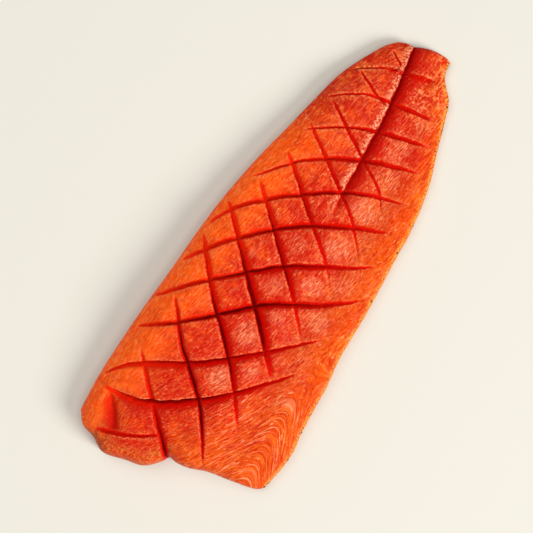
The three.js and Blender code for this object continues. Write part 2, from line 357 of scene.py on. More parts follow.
def strokeAt(stroke, x, y):
    # How a stroke cuts the places near it: its share there, the offset from its keel, and its section.
    reach, fadedWidth = scoring["reach"], scoring["fadedWidth"]
    low, high = stroke["line"].min(0) - reach, stroke["line"].max(0) + reach
    near = np.flatnonzero((x > low[0]) & (x < high[0]) & (y > low[1]) & (y < high[1]))
    share, offset = againstLine(stroke["line"], x[near], y[near])
    fadeIn, fadeOut = stroke.get("fade", scoring["fade"])
    fade = np.sin(np.pi / 2 * clamp01(share / max(fadeIn, tiny)))
    fade *= np.sin(np.pi / 2 * clamp01((1 - share) / max(fadeOut, tiny)))
    fade = np.where((fadeIn == 0) & (share <= 0) | (fadeOut == 0) & (share >= 1), 1, fade)
    wall = np.where(offset > 0, alongList(stroke["left"], share), alongList(stroke["right"], share))
    return {
        "near": near, "share": share, "offset": offset, "fade": fade,
        "depth": alongList(stroke["depth"], share) * fade,
        "wall": wall * (fadedWidth + (1 - fadedWidth) * np.sqrt(fade)),
        "gentle": smoothStep(wall, scoring["crispWall"], scoring["gentleWall"]),
    }


def snapToCreases(x, y, wanderX, wanderY, pitch):
    # Moves grid places that lie next to a keel or a sharp lip onto it, so that the cuts stay crisp.
    startX, startY = x.copy(), y.copy()
    furthest = scoring["snapReach"] * pitch
    for stroke in knifeStrokes:
        cut = strokeAt(stroke, x + wanderX, y + wanderY)
        lip = np.where(cut["gentle"] < 1, cut["wall"], 0)
        creases = np.stack([np.zeros_like(lip), np.copysign(lip, cut["offset"])])
        nearest = np.abs(creases - cut["offset"]).argmin(0)
        gap = np.take_along_axis(creases, nearest[None], 0)[0] - cut["offset"]
        steps = np.diff(stroke["line"], axis=0)
        heading = steps[np.minimum((cut["share"] * len(steps)).astype(int), len(steps) - 1)]
        heading /= np.linalg.norm(heading, axis=1)[:, None]
        gap *= (np.abs(gap) < furthest) & (cut["fade"] > scoring["snapFade"])
        x[cut["near"]] -= heading[:, 1] * gap
        y[cut["near"]] += heading[:, 0] * gap
    for moved, start in ((x, startX), (y, startY)):
        np.clip(moved, start - furthest, start + furthest, out=moved)


# The flesh: a fine grid laid over the footprint, scored, and closed below by its undercut side.
flesh = {
    "columns": 196,
    "rows": 470,
    "crowding": 0.3,                # draws the grid's places towards the edges
    "pitch": 0.85,                  # about how far apart they are
    "sideRings": 4,
    "leastHeight": 1.5,             # what a cut leaves above the skin
    "lumps": 0.55, "lumpWidth": 17, "lumpLength": 27.2,
    "fibres": 0.28, "fibreWidth": 2.3, "fibreLength": 22,
    "ridges": 0.16, "ridgeWidth": 1.7, "ridgeLength": 30,       # combed ridges along the edges
    "cutFaceRough": 1, "cutFaceGrain": 2.8,
    "serration": 1.1, "serrationSize": 2.8,                     # the belly edge is cut unevenly
    "blockSize": 30, "blockVariety": 1.8,                       # how the blocks' tones differ
}
# Soft dents where the flesh has sunk, each with its place, radii, turn in degrees and depth.
dents = [
    {"at": (-57, -177), "radii": (5, 9), "turn": 40, "depth": 1.5, "red": 0.3},
    {"at": (14, 190), "radii": (9, 4), "turn": -20, "depth": 0.8, "red": 0},
]
# The muscle fibres lean a little going up the fillet, lean over more below a turn near the cut end,
# arch back down past an apex along the belly, and follow the edge beside the loin.
fibreRun = {
    "lean": 0.14,
    "turnAt": -88, "turnRound": 30, "turnLean": 15,
    "apex": 62, "apexAt": -125, "apexLean": 0.045, "apexRound": 4.5,
    "archLeast": 0.3, "archMore": 2.4, "archZone": (-100, -30),
    "loinZone": (8, 42), "loinShift": 80,
    "slant": 0.35,
}
# Where the flesh's form or tone changes: the two places in millimetres between which it does. Those
# that count in from an edge say which.
fleshZones = {
    "inland": (0, 6),                   # in from any edge
    "combedSides": (12, 30),            # in from the loin or the belly
    "cutFaceIn": (10.2, 17),            # in from the cut end
    "cutFaceStart": (-72, -58), "cutFaceEnd": (-4, 4),
    "fanAlong": (-112, -84), "fanAcross": (8, 24),
    "bellyRim": (2, 5.2),               # in from the belly
    "belt": (7, 16), "tailBelt": (7, 22),                       # in from the belly
    "tail": (75, 130),
    "end": (12, 60),                    # in from the cut end
    "flakyAlong": (70, 120), "flakyAcross": (-14, -4),
    "curlyAlong": (130, 165), "curlyAcross": (2, 14),
    "filmAcross": (-5, 24), "filmAlong": (-125, -60),
    "filmIn": (12, 26),                 # in from the belly
    "loinTone": (10, 62),               # in from the loin
    "cornerAlong": (-164, -152), "cornerAcross": (-66, -58),
    "bellyTone": (12, 70), "tailBellyTone": (4, 28),            # in from the belly
    "tip": (162, 186),
    "endAcross": (-30, 15),
}
fleshTones = {
    "leastFan": 0.25,               # pale sheets outside the fan
    "leastFilm": 0.25,              # film on the shoulder between its patches
    "tailLoin": 0.9,                # how much of the loin's orange the tail lacks
    "cornerLoin": 0.65,             # and the cut end beside its corner
    "tipBelly": 0.6,                # how much of the belly's orange the tail's tip lacks
    "tailBelly": 0.15,
    "endBelly": 0.95,               # how much of it the cut end has
}
# Where the oily film shows on the blocks, as the coat's gloss and as a painted reflection: the middle of
# each patch, its reach and its strength.
filmSpots = [
    ((27, 66), 12, 1), ((24, 31), 12, 0.9), ((-3, 16), 8, 0.6), ((-3, -22), 9, 0.6),
    ((24, -6), 10, 0.8), ((46, 8), 10, 0.6), ((-1, -65), 11, 0.8), ((13, -41), 8, 0.6),
    ((42, -28), 10, 0.8), ((0, -106), 11, 1), ((18, -87), 9, 0.6), ((51, -98), 9, 0.4),
    ((30, 99), 10, 0.9), ((23, 124), 12, 0.75), ((29, 149), 9, 0.65),
]


def fibreCoordinates(x, y, away):
    # Each place's coordinates across and along the muscle fibres.
    run = fibreRun
    turned = np.log1p(np.exp(-(y - run["turnAt"]) / run["turnRound"]))
    lean = run["lean"] * y - run["turnLean"] * turned
    apex = run["apex"] - run["apexLean"] * (y - run["apexAt"])
    past = run["apexRound"] * np.log1p(np.exp((x - apex) / run["apexRound"]))
    arching = run["archLeast"] + run["archMore"] * (1 - smoothStep(y, *run["archZone"]))
    nearLoin = 1 - smoothStep(away["loin"], *run["loinZone"])
    across = (x - lean - arching * past) * (1 - nearLoin) + (away["loin"] - run["loinShift"]) * nearLoin
    return across, y + run["slant"] * x


def serrationAt(x, y):
    size = flesh["serrationSize"]
    return flesh["serration"] * (0.5 + 0.5 * noiseAt(size, size, x, y, noiseSeeds["serration"]))


def layGrid():
    # Every place of the flesh's grid and of the foot below it, and which places are on the rim.
    across, along = np.meshgrid(np.arange(flesh["columns"] + 1), np.arange(flesh["rows"] + 1))
    across = crowd(across.ravel() / flesh["columns"], flesh["crowding"])
    along = crowd(along.ravel() / flesh["rows"], flesh["crowding"])
    onRim = (across <= 0) | (across >= 1) | (along <= 0) | (along >= 1)
    x, y = withinInsets(lambda edge: edge["skinShows"], across, along)
    footX, footY = withinInsets(lambda edge: edge["skinShows"] + edge["tuck"], across, along)
    ragged = serrationAt(x, y) * (across >= 1)
    return x - ragged, y, footX - ragged, footY, onRim


def wanderAt(x, y, name):
    # How far off its line the knife is: a slow wander with a fine fray on it.
    size, fine = scoring["wanderSize"], scoring["fraySize"]
    wander = scoring["wander"] * noiseAt(size, size, x, y, noiseSeeds["wander" + name])
    return wander + scoring["fray"] * noiseAt(fine, fine, x, y, noiseSeeds["fray" + name])


def addRelief(height, x, y, away, inland, fibreAcross, fibreAlong):
    # Adds the lumps, fibres and combed ridges of the uncut flesh.
    lumps = noiseAt(flesh["lumpWidth"], flesh["lumpLength"], x, y, noiseSeeds["lumps"])
    height -= inland * flesh["lumps"] * (0.5 - lumps)
    width, length = flesh["fibreWidth"], flesh["fibreLength"]
    fibres = noiseAt(width, length, fibreAcross, fibreAlong, noiseSeeds["fibres"])
    height += inland * flesh["fibres"] * fibres
    fromSide = np.minimum(away["loin"], away["belly"])
    combed = noiseAt(flesh["ridgeWidth"], flesh["ridgeLength"], fromSide, y, noiseSeeds["ridges"])
    nearSides = 1 - smoothStep(fromSide, *fleshZones["combedSides"])
    height += inland * nearSides * flesh["ridges"] * combed


def sinkDents(height, x, y):
    # Sinks the soft dents, and gives back how red each place is from them.
    red = np.zeros_like(x)
    for dent in dents:
        turn = math.radians(dent["turn"])
        fromX, fromY = x - dent["at"][0], y - dent["at"][1]
        alongX = (fromX * math.cos(turn) + fromY * math.sin(turn)) / dent["radii"][0]
        alongY = (fromY * math.cos(turn) - fromX * math.sin(turn)) / dent["radii"][1]
        sunk = np.exp(-alongX ** 2 - alongY ** 2)
        height -= dent["depth"] * sunk
        red = np.maximum(red, dent["red"] * sunk)
    return red


def carve(height, x, y, wanderX, wanderY):
    # Cuts every stroke into the height, and gathers what the material shows about the cuts.
    names = ("cut", "wet", "soaked", "lip", "seamLip", "seamShade", "block")
    marks = {name: np.zeros_like(x) for name in names}
    for number, stroke in enumerate(knifeStrokes):
        cut = strokeAt(stroke, x + wanderX, y + wanderY)
        near, fade, wall, gentle = cut["near"], cut["fade"], cut["wall"], cut["gentle"]
        off = np.abs(cut["offset"])
        outside = np.maximum(off - wall, 0)

        inside = clamp01(1 - off / (wall * (1 + scoring["spread"] * gentle)))
        hollowing = 1 + scoring["roundOver"] * gentle + stroke.get("hollow", 0)
        upWall = off - scoring["stainFrom"] * wall
        stained = clamp01(1 - upWall / (scoring["stainWide"] * wall + scoring["stainLeast"]))
        stained *= smoothStep(cut["depth"], *scoring["stainDepths"]) * stroke.get("stain", 1)
        soaked = smoothStep(cut["depth"], *scoring["soakDepths"])
        soaked = soaked * np.exp(-(outside / scoring["soak"]) ** 2)
        inTail = smoothStep(y[near], *scoring["tailLipZone"])
        lipWide = scoring["lipWide"] + scoring["tailLipWider"] * inTail
        # A painted highlight along each sharp lip.
        lip = fade * (1 - gentle) * np.exp(-outside / lipWide) * (off > scoring["lipFrom"] * wall)
        if stroke.get("seam"):
            onLip = 1 - smoothStep(off, *seam["lipReach"])
            marks["seamLip"][near] = fade * onLip * (cut["offset"] < -seam["lipFrom"])
            openSide = fade * (cut["offset"] > -seam["openFrom"])
            # Painted shade: a darker red beside the seam's keel, on its open side.
            marks["seamShade"][near] = openSide * np.exp(-(off / seam["shadeReach"]) ** 2)
            soaked = np.maximum(soaked, openSide * np.exp(-(off / seam["soakReach"]) ** 2))
        shown = {
            "cut": scoring["open"] * cut["depth"] * inside ** hollowing,
            "wet": stained, "soaked": soaked, "lip": lip,
        }
        for name, values in shown.items():
            marks[name][near] = np.maximum(marks[name][near], values)

        turned = fade * np.sign(cut["offset"]) * np.exp(-off / scoring["blockReach"])
        marks["block"][near] += turned * (scoring["blockLeast"] + scoring["blockStep"] * number % 1)
        sinking = scoring["crispSettle"] + (1 - scoring["crispSettle"]) * gentle
        sink = scoring["settle"] * sinking * np.exp(-outside / scoring["settleReach"])
        lift = scoring["lift"] * (1 - gentle) * np.exp(-outside / scoring["liftReach"]) * (off >= wall)
        height[near] += fade * (lift - sink)
    height -= marks["cut"]
    return marks


def tonesAt(x, y, away):
    # What the material reads about where a place lies on the fillet.
    zones, tones = fleshZones, fleshTones
    nearTail, nearEnd = smoothStep(y, *zones["tail"]), 1 - smoothStep(away["cutEnd"], *zones["end"])
    marks = {}
    inFan = (1 - smoothStep(y, *zones["fanAlong"])) * smoothStep(x, *zones["fanAcross"])
    marks["fan"] = tones["leastFan"] + (1 - tones["leastFan"]) * inFan
    marks["bellyRim"] = 1 - smoothStep(away["belly"], *zones["bellyRim"])
    # The belly's belt and its orange are as wide as their zones say, and change towards the tail.
    fromBelly = {}
    for name, tailName in (("belt", "tailBelt"), ("bellyTone", "tailBellyTone")):
        low, high = [here + (there - here) * nearTail for here, there in zip(zones[name], zones[tailName])]
        fromBelly[name] = 1 - smoothStep(away["belly"], low, high)
    marks["belt"] = fromBelly["belt"]
    marks["flaky"] = smoothStep(y, *zones["flakyAlong"]) * (1 - smoothStep(x, *zones["flakyAcross"]))
    marks["curly"] = smoothStep(y, *zones["curlyAlong"]) * smoothStep(x, *zones["curlyAcross"])

    film = tones["leastFilm"] * smoothStep(x, *zones["filmAcross"])
    film = film * smoothStep(away["belly"], *zones["filmIn"]) * smoothStep(y, *zones["filmAlong"])
    for middle, reach, strength in filmSpots:
        spread = ((x - middle[0]) ** 2 + (y - middle[1]) ** 2) / reach ** 2
        film = np.maximum(film, strength * np.exp(-spread ** 2))
    marks["film"] = film

    corner = (1 - smoothStep(y, *zones["cornerAlong"])) * smoothStep(x, *zones["cornerAcross"])
    loinTone = (1 - smoothStep(away["loin"], *zones["loinTone"])) * (1 - tones["tailLoin"] * nearTail)
    marks["loinTone"] = loinTone * (1 - tones["cornerLoin"] * corner)
    bellyTone = fromBelly["bellyTone"] * (1 - tones["tipBelly"] * smoothStep(y, *zones["tip"]))
    endTone = tones["endBelly"] * nearEnd * smoothStep(x, *zones["endAcross"])
    marks["bellyTone"] = np.maximum(bellyTone, endTone) - tones["tailBelly"] * nearTail
    return marks


def shapeTop():
    # Every place of the grid, its height, and what the material reads there.
    rimX, rimY, footX, footY, onRim = layGrid()
    x, y = rimX.copy(), rimY.copy()
    wanderX, wanderY = wanderAt(x, y, "X"), wanderAt(x, y, "Y")
    snapToCreases(x, y, wanderX, wanderY, flesh["pitch"])
    x[onRim], y[onRim] = rimX[onRim], rimY[onRim]

    height, away = bareTop(x, y)
    fibreAcross, fibreAlong = fibreCoordinates(x, y, away)
    inland = smoothStep(np.minimum.reduce(list(away.values())), *fleshZones["inland"])
    addRelief(height, x, y, away, inland, fibreAcross, fibreAlong)
    red = sinkDents(height, x, y)
    marks = carve(height, x, y, wanderX, wanderY)
    frayed = noiseAt(seam["lipGrain"], seam["lipGrain"], x, y, noiseSeeds["seamLip"])
    height += marks["seamLip"] * inland * seam["lip"] * (seam["lipFloor"] + frayed)
    cutFace = 1 - smoothStep(away["cutEnd"], *fleshZones["cutFaceIn"])
    cutFace *= smoothStep(x, *fleshZones["cutFaceStart"]) * (1 - smoothStep(x, *fleshZones["cutFaceEnd"]))
    torn = noiseAt(flesh["cutFaceGrain"], flesh["cutFaceGrain"], x, y, noiseSeeds["cutFace"])
    height += cutFace * inland * flesh["cutFaceRough"] * torn
    base = filletForm["skinThickness"] + filletForm["clearance"]
    height = np.maximum(height, base + flesh["leastHeight"])

    marks["wet"] = np.maximum(marks["wet"], red)
    # How far down its cut each place lies, as the share of the painted shade there.
    marks["cut"] = clamp01(marks["cut"] / scoring["darkest"])
    blockSeeds = noiseSeeds["blocks"] + flesh["blockVariety"] * marks["block"]
    marks["block"] = noiseAt(flesh["blockSize"], flesh["blockSize"], x, y, blockSeeds)
    marks["cutFace"] = cutFace
    marks.update(tonesAt(x, y, away))
    return {
        "x": x, "y": y, "height": height, "footX": footX, "footY": footY, "base": base,
        "marks": marks, "fibres": np.column_stack([fibreAcross, fibreAlong]) * mm,
    }


def makeFlesh():
    top = shapeTop()
    mesh = bmesh.new()
    source = mesh.verts.layers.int.new("source")      # the grid place that a vertex comes from
    bmesh.ops.create_grid(mesh, x_segments=flesh["columns"], y_segments=flesh["rows"], size=1)
    columns, rows = flesh["columns"], flesh["rows"]
    for vertex in mesh.verts:
        column, row = round((vertex.co.x + 1) / 2 * columns), round((vertex.co.y + 1) / 2 * rows)
        place = row * (columns + 1) + column
        vertex[source] = place
        vertex.co = Vector((top["x"][place], top["y"][place], top["height"][place])) * mm

    # The rim is extruded down and in, ring by ring, to the foot on the skin.
    loop = [edge for edge in mesh.edges if edge.is_boundary]
    for ring in range(1, flesh["sideRings"] + 1):
        turned = math.pi / 2 * ring / flesh["sideRings"]
        fresh = bmesh.ops.extrude_edge_only(mesh, edges=loop)["geom"]
        loop = [item for item in fresh if isinstance(item, bmesh.types.BMEdge) and item.is_boundary]
        for vertex in {vertex for edge in loop for vertex in edge.verts}:
            place = vertex[source]
            inward = 1 - math.cos(turned)
            x = top["x"][place] + (top["footX"][place] - top["x"][place]) * inward
            y = top["y"][place] + (top["footY"][place] - top["y"][place]) * inward
            z = top["height"][place] + (top["base"] - top["height"][place]) * math.sin(turned)
            vertex.co = Vector((x, y, z)) * mm
    bmesh.ops.contextual_create(mesh, geom=loop)
    bmesh.ops.recalc_face_normals(mesh, faces=mesh.faces)

    places = np.array([vertex[source] for vertex in mesh.verts])
    thing = newObject("smokedSalmonFlesh", mesh)
    for name, values in top["marks"].items():
        thing.data.attributes.new(name, "FLOAT", "POINT").data.foreach_set("value", values[places])
    corners = np.empty(len(thing.data.loops), dtype=np.int32)
    thing.data.loops.foreach_get("vertex_index", corners)
    fibreMap = thing.data.uv_layers.new(name="fibres")
    fibreMap.uv.foreach_set("vector", top["fibres"][places][corners].ravel())
    thing.data.shade_smooth()
    return thing


# Cold-smoked salmon cut with a wet knife: translucent orange-red muscle under an oily film. It gives
# a deep red inside the cuts, darkest in their keels as painted shade, pale broken sheets of connective
# tissue, and painted glints and highlights on a fine grain.
fleshLook = {
    "red": "#c00f02",
    "loinOrange": "#ff5404",
    "bellyOrange": "#ca4401",
    # A pale pink painted reflection of the softbox on the oily film.
    "paintedSheen": "#d8703c",
    "streak": "#ac0e02",
    "flake": "#ee6220",
    "fleck": "#a60c01",
    "fibre": "#fa6a28",
    "loinFibre": "#ff8a2c",
    # Painted reflection on the wrinkles of the oily film.
    "filmSheen": "#f07448",
    # Painted glints on the oily film.
    "paintedGlint": "#ffac7c",
    "dash": "#ffa068",
    "curl": "#ff9050",
    "comb": "#f48a2c",
    "sheet": "#ffa474",
    # Painted highlight along the sharp lips of the cuts.
    "lip": "#ff9c5c",
    "bellyRim": "#f6a040",
    "speck": "#4a2414",
    "cutFace": "#c2581e",
    "tornFat": "#e0884c",
    # Painted shade beside the seam's keel.
    "seamShade": "#aa0903",
    "soaked": "#be0b02",
    # Painted highlight on the seam's frayed lip.
    "seamLip": "#f8a67c",
    "cutWall": "#c80d03",
    "loinCut": "#f02c08",
    # The darkest red: painted shade deep in the keels of the cuts.
    "paintedKeelShade": "#7c0201",
    "mottling": 12,                      # millimetres, as are the sizes below
    "patch": 9,
    "streakWidth": 2.6, "streakLength": 18,
    "fibreWidth": 1.2, "fibreLength": 6,
    "combWidth": 1.3, "combLength": 14,
    "sheetGap": 4.2, "sheetLength": 46,
    "curlSize": 7,
    "grain": 1.7,                        # from here to the dashes coarser than real, so that they show
    "filmWidth": 1.4, "filmLength": 4.4,
    "paintedGlintWidth": 0.9, "paintedGlintLength": 5,
    "dashWidth": 1.3, "dashLength": 4.5,
    "speckGap": 12,
}


def makeFleshMaterial():
    look = fleshLook
    material, tree, surface = newMaterial("coldSmokedSalmonMuscle", {
        "IOR": 1.4, "Specular IOR Level": 0.1, "Coat Roughness": 0.14,
        "Subsurface Weight": 0.1, "Subsurface Radius": (1, 0.1, 0.05), "Subsurface Scale": 0.003})
    place = addNode(tree, "ShaderNodeTexCoord", output="Object")
    fibreMap = addNode(tree, "ShaderNodeUVMap", uv_map="fibres")      # metres across and along the fibres
    names = ("cut", "wet", "soaked", "lip", "seamLip", "seamShade", "block", "cutFace", "bellyRim",
             "belt", "loinTone", "bellyTone", "fan", "film", "flaky", "curly")
    marks = {}
    for name in names:
        marks[name] = addNode(tree, "ShaderNodeAttribute", output="Fac", attribute_name=name)

    mottling, patches, grain = [
        addNode(tree, "ShaderNodeTexNoise",
                {"Vector": place, "Scale": perMetre(look[name]), "Detail": detail, "Roughness": 0.6})
        for name, detail in (("mottling", 4), ("patch", 5), ("grain", 2))]
    # Patterns drawn out along the fibres: dark streaks, pale fibres, the wrinkles of the oily film and its
    # painted glints, pale dashes, and the comb along the belly.
    drawnOut = {}
    for name, detail, distortion in (
            ("streak", 3, 0.2), ("fibre", 2, 0.35), ("film", 1, 0.5), ("paintedGlint", 0, 0.4),
            ("dash", 1, 0.6), ("comb", 2, 0.15)):
        size = perMetre(look[name + "Width"]), perMetre(look[name + "Length"]), 1
        stretched = addNode(tree, "ShaderNodeMapping", {"Vector": fibreMap, "Scale": size})
        drawnOut[name] = addNode(tree, "ShaderNodeTexNoise", {
            "Vector": stretched, "Scale": 1, "Detail": detail, "Roughness": 0.6, "Distortion": distortion})
    alongSheets = addNode(tree, "ShaderNodeMapping", {
        "Vector": fibreMap, "Scale": (perMetre(look["sheetGap"]), perMetre(look["sheetLength"]), 1)})
    # Pale connective tissue: long sheets seen edge on, and short curls, both as contours of a noise.
    pale = []
    curlThick = addNode(tree, "ShaderNodeMath", [marks["curly"], 0.07, 0.035], operation="MULTIPLY_ADD")
    for vector, size, distortion, thick in (
            (alongSheets, 1, 0.45, 0.045), (place, perMetre(look["curlSize"]), 1, curlThick)):
        folds = addNode(tree, "ShaderNodeTexNoise",
                        {"Vector": vector, "Scale": size, "Detail": 2, "Distortion": distortion})
        fromFold = addNode(tree, "ShaderNodeMath", [folds, 0.5], operation="SUBTRACT")
        fromFold = addNode(tree, "ShaderNodeMath", [fromFold], operation="ABSOLUTE")
        edgeOn = addNode(tree, "ShaderNodeMapRange", [fromFold, 0.003, thick, 1, 0])
        broken = addNode(tree, "ShaderNodeTexNoise",
                         {"Vector": vector, "Scale": 1.7 * size, "Detail": 2, "Roughness": 0.6})
        shown = addNode(tree, "ShaderNodeMapRange", [broken, 0.48, 0.6, 0, 1])
        pale.append(addNode(tree, "ShaderNodeMath", [edgeOn, shown], operation="MULTIPLY"))

    # How orange the flesh is towards the loin and towards the belly, which varies from block to block.
    varied = addNode(tree, "ShaderNodeMapRange", [mottling, 0.3, 0.7, -0.3, 0.16])
    varied = addNode(tree, "ShaderNodeMath", [marks["block"], 0.35, varied], operation="MULTIPLY_ADD")
    loinTone, bellyTone = [
        addNode(tree, "ShaderNodeMath", [marks[name], varied], operation="ADD")
        for name in ("loinTone", "bellyTone")]
    # Some blocks are cut along their fibres and look combed, and others across, and look granular.
    combed = addNode(tree, "ShaderNodeMath", [marks["block"], 0.25, patches], operation="MULTIPLY_ADD")
    combed = addNode(tree, "ShaderNodeMapRange", [combed, 0.4, 0.6, 0.15, 1])
    granular = addNode(tree, "ShaderNodeMapRange", [combed, 0, 1, 0.6, 0.2])
    granular = addNode(tree, "ShaderNodeMath", [granular, marks["curly"]], operation="MAXIMUM")
    offLoin = addNode(tree, "ShaderNodeMapRange", [marks["loinTone"], 0.1, 0.7, 1, 0.45])
    keelShadeShare = addNode(tree, "ShaderNodeMapRange", [marks["loinTone"], 0.2, 0.75, 1, 0.2])
    # How much of the painted shade deep in the cuts shows: less in the loin.
    combing = addNode(tree, "ShaderNodeMath", [marks["fan"], 0.8], operation="MULTIPLY")
    combing = addNode(tree, "ShaderNodeMath", [combing, marks["belt"]], operation="MAXIMUM")
    # The oily film shows most on the shoulder that falls to the belly, and in patches elsewhere. It sets
    # the coat's gloss, and where painted glints and reflections show.
    glossy = addNode(tree, "ShaderNodeMath", [patches, 0.9, marks["film"]], operation="MULTIPLY_ADD")
    glossy = addNode(tree, "ShaderNodeMapRange", [glossy, 0.55, 1.45, 0.06, 0.8])
    # The fibres break up the edge of the redness that a wet cut leaves on its walls.
    ragged = addNode(tree, "ShaderNodeMapRange", [drawnOut["fibre"], 0.3, 0.7, -0.2, 0.2])
    wet, shaded, soaked = [
        addNode(tree, "ShaderNodeMath", [marks[name], ragged], operation="ADD")
        for name in ("wet", "seamShade", "soaked")]
    speckled = addNode(tree, "ShaderNodeMapRange", [grain, 0.46, 0.55, 0.05, 1])
    specks = addNode(tree, "ShaderNodeTexVoronoi", {"Vector": place, "Scale": perMetre(look["speckGap"])},
                     voronoi_dimensions="2D")
    # Each colour over the ones before it: the value it follows, that value's range, the shares that
    # the range gives, and the mask that it is held to.
    layers = {
        "loinOrange": (loinTone, 0, 1, 0, 1, None),
        "bellyOrange": (bellyTone, 0, 1, 0, 1, None),
        # Painted reflection: the film's patches made pale pink.
        "paintedSheen": (marks["film"], 0.3, 0.9, 0, 0.3, None),
        "streak": (drawnOut["streak"], 0.51, 0.63, 0, 0.6, offLoin),
        "flake": (patches, 0.53, 0.6, 0, 0.45, marks["flaky"]),
        "fleck": (drawnOut["film"], 0.47, 0.35, 0, 0.5, offLoin),
        "fibre": (drawnOut["fibre"], 0.55, 0.605, 0, 0.55, combed),
        "loinFibre": (drawnOut["fibre"], 0.53, 0.61, 0, 0.5, marks["loinTone"]),
        "soaked": (soaked, 0.25, 0.95, 0, 0.75, offLoin),
        "curl": (pale[1], 0, 1, 0, 0.7, granular),
        # Painted reflection on the film's wrinkles, where it is glossy.
        "filmSheen": (drawnOut["film"], 0.55, 0.59, 0, 0.45, glossy),
        # Painted glints, where the film is glossy.
        "paintedGlint": (drawnOut["paintedGlint"], 0.58, 0.63, 0, 0.6, glossy),
        "comb": (drawnOut["comb"], 0.51, 0.59, 0, 0.3, combing),
        "dash": (drawnOut["dash"], 0.64, 0.69, 0, 0.6, combed),
        "sheet": (pale[0], 0, 1, 0, 0.6, marks["fan"]),
        # Painted highlight along the sharp lips.
        "lip": (marks["lip"], 0, 1, 0, 0.75, speckled),
        "cutFace": (marks["cutFace"], 0, 1, 0, 0.9, speckled),
        "bellyRim": (marks["bellyRim"], 0, 1, 0, 0.85, speckled),
        "tornFat": (grain, 0.54, 0.62, 0, 0.35, marks["cutFace"]),
        # Painted highlight on the seam's frayed lip.
        "seamLip": (marks["seamLip"], 0, 1, 0, 0.85, speckled),
        "speck": (specks, 0.1, 0.07, 0, 0.9, marks["bellyRim"]),
        "cutWall": (wet, 0.2, 0.6, 0, 1, None),
        "loinCut": (wet, 0.2, 0.6, 0, 0.85, marks["loinTone"]),
        # Painted shade beside the seam, on its open side.
        "seamShade": (shaded, 0.15, 0.85, 0, 0.9, None),
        # Painted shade: the keels of the cuts darkened with their depth.
        "paintedKeelShade": (marks["cut"], 0.45, 0.9, 0, 1, keelShadeShare),
    }
    colour = linear(look["red"])
    for name, (value, low, high, toLow, toHigh, mask) in layers.items():
        share = addNode(tree, "ShaderNodeMapRange", [value, low, high, toLow, toHigh])
        if mask is not None:
            share = addNode(tree, "ShaderNodeMath", [share, mask], operation="MULTIPLY")
        colour = addNode(tree, "ShaderNodeMix", {0: share, 6: colour, 7: linear(look[name])}, output=2,
                         data_type="RGBA")
    tree.links.new(colour, surface.inputs["Base Color"])

    roughness = addNode(tree, "ShaderNodeMapRange", [grain, 0.3, 0.7, 0.4, 0.6])
    oily = addNode(tree, "ShaderNodeMapRange", [marks["wet"], 0.2, 0.8, 0.6, 0.1])
    oily = addNode(tree, "ShaderNodeMath", [oily, glossy], operation="MULTIPLY")
    tree.links.new(oily, surface.inputs["Coat Weight"])
    tree.links.new(roughness, surface.inputs["Roughness"])
    # The muscle is grained and ridged, and the oily film lies over it in wrinkles.
    grained = addNode(tree, "ShaderNodeBump", {"Height": grain, "Strength": 1, "Distance": 0.5 * mm})
    ridged = addNode(tree, "ShaderNodeBump", {
        "Height": drawnOut["fibre"], "Strength": 1, "Distance": 0.4 * mm, "Normal": grained})
    ridged = addNode(tree, "ShaderNodeBump", {
        "Height": drawnOut["film"], "Strength": 1, "Distance": 0.6 * mm, "Normal": ridged})
    wrinkled = addNode(tree, "ShaderNodeBump",
                       {"Height": drawnOut["film"], "Strength": 1, "Distance": 0.6 * mm})
    tree.links.new(ridged, surface.inputs["Normal"])
    tree.links.new(wrinkled, surface.inputs["Coat Normal"])
    return material


print("flesh: shaping and scoring the top")
fleshPiece = makeFlesh()
fleshPiece.data.materials.append(makeFleshMaterial())
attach(fleshPiece, "root")
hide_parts("fillet")


# The skin: a thin sheet on the footprint, which comes out past the flesh along the belly.
skin = {
    "columns": 80,
    "rows": 260,
    "crowding": 0.5,
    "fat": "#e2984e",
    "speck": "#3a2a1e",
    "silver": "#a9aaa2",
    "back": "#4c5256",
    "fatReach": 5,                 # how far in from the edge the pale fat goes
    "scale": 3.2,                  # millimetres across a scale pocket
    "speckGap": 9,
}


def makeSkin():
    mesh = bmesh.new()
    bmesh.ops.create_grid(mesh, x_segments=skin["columns"], y_segments=skin["rows"], size=1)
    flat = np.array([(vertex.co.x, vertex.co.y) for vertex in mesh.verts])
    across, along = crowd((flat + 1).T / 2, skin["crowding"])
    x, y = withinInsets(lambda edge: 0 if edge["skinShows"] else edge["tuck"], across, along)
    x -= serrationAt(x, y) * (across >= 1)
    for vertex, placeX, placeY in zip(mesh.verts, x.tolist(), y.tolist()):
        vertex.co = Vector((placeX, placeY, filletForm["skinThickness"])) * mm
    lower = bmesh.ops.extrude_face_region(mesh, geom=mesh.faces[:])["geom"]
    for item in lower:
        if isinstance(item, bmesh.types.BMVert):
            item.co.z = 0
    bmesh.ops.recalc_face_normals(mesh, faces=mesh.faces)
    thing = newObject("salmonSkin", mesh)
    places = np.array([vertex.co[:2] for vertex in thing.data.vertices]).T / mm
    away = bareTop(*places)[1]
    back = 1 - away["loin"] / (away["loin"] + away["belly"])
    for name, values in (("fromEdge", np.minimum.reduce(list(away.values()))), ("back", back)):
        thing.data.attributes.new(name, "FLOAT", "POINT").data.foreach_set("value", values)
    return thing


